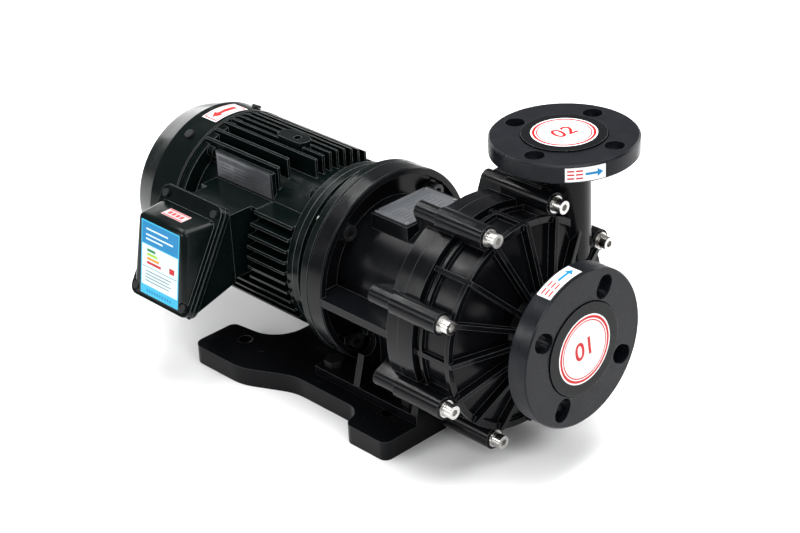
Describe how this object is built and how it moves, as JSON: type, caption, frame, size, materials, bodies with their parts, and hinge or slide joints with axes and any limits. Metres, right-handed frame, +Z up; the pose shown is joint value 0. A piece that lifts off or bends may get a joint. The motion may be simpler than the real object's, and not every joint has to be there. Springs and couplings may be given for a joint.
{
  "type": "chemical pump",
  "caption": "Magnetically driven plastic chemical pump with loose flange rings, lantern bracket, moulded base and a finned flange motor.",
  "frame": {"origin": "centre of the four foot holes, on the underside of the base plate", "axes": "+X along the shaft and out of the suction inlet, +Z up, +Y to the discharge pipe's side"},
  "size_m": [0.55, 0.3173, 0.292],
  "materials": {
    "black_moulding": "fine moulded grain, satin",
    "black_flange": "black plastic, turned and slightly rough",
    "printed_paper": "white printed sticker",
    "steel_fasteners": "bright stainless",
    "black_fasteners": "blackened steel",
    "plate_silver": "satin printed plate",
    "wet_plastic": "filled plastic",
    "rubber_seal": "smooth",
    "ceramic": "polished ceramic",
    "carbon": "carbon",
    "white_ptfe": "waxy white",
    "machined_steel": "turned steel",
    "magnet_metal": "plated magnet",
    "copper": "enamelled copper wire",
    "motor_paint": "dark green-black paint, slight orange peel",
    "board_brown": "moulded board",
    "brass_studs": "plain brass"
  },
  "bodies": {
    "pump": {"base_plate": "black_moulding", "bracket": "black_moulding", "front_casing": "black_moulding", "base_bolts": "black_fasteners", "bracket_nameplate": "plate_silver", "nameplate_rivets": "steel_fasteners", "casing_washers": "steel_fasteners", "casing_spring_washers": "steel_fasteners", "casing_bolts": "steel_fasteners", "boss_inserts": "steel_fasteners", "rear_casing": "wet_plastic", "casing_oring": "rubber_seal", "pump_shaft": "ceramic", "rear_thrust_ring": "ceramic", "front_thrust_ring": "ceramic", "liner_ring": "white_ptfe", "motor_flange": "motor_paint", "flange_bolts": "black_fasteners", "flange_washers": "black_fasteners", "flange_nuts": "steel_fasteners", "motor_frame": "motor_paint", "rear_endshield": "motor_paint", "endshield_screws": "black_fasteners", "stator_core": "machined_steel", "stator_winding": "copper", "front_bearing": "machined_steel", "rear_bearing": "machined_steel", "fan_cover": "motor_paint", "fan_cover_screws": "black_fasteners", "motor_nameplate": "plate_silver", "terminal_base": "motor_paint", "cover_gasket": "rubber_seal", "terminal_cover": "motor_paint", "cover_screws": "black_fasteners", "terminal_board": "board_brown", "terminal_studs": "brass_studs", "cable_gland": "black_moulding"},
    "inlet_ring": {"inlet_flange": "black_flange"},
    "outlet_ring": {"outlet_flange": "black_flange"},
    "motor_rotor": {"motor_shaft": "machined_steel", "shaft_key": "machined_steel", "rotor_core": "machined_steel", "drive_yoke": "machined_steel", "drive_magnets": "magnet_metal", "fan": "black_moulding"},
    "impeller_rotor": {"impeller": "wet_plastic", "inner_magnet": "wet_plastic", "impeller_bushes": "carbon", "mouth_ring": "white_ptfe"}
  },
  "joints": [
    {"name": "inlet_ring_turn", "type": "hinge", "parent": "pump", "child": "inlet_ring", "pos_m": [0.28, 0, 0.13], "axis": [1, 0, 0], "continuous": true},
    {"name": "outlet_ring_turn", "type": "hinge", "parent": "pump", "child": "outlet_ring", "pos_m": [0.202, 0.075, 0.282], "axis": [0, 0, 1], "continuous": true},
    {"name": "motor_turn", "type": "hinge", "parent": "pump", "child": "motor_rotor", "pos_m": [0, 0, 0.13], "axis": [1, 0, 0], "continuous": true},
    {"name": "impeller_turn", "type": "hinge", "parent": "pump", "child": "impeller_rotor", "pos_m": [0.19, 0, 0.13], "axis": [1, 0, 0], "continuous": true}
  ],
  "couplings": [
    {"joint": "impeller_turn", "follows": "motor_turn", "ratio": 1}
  ]
}
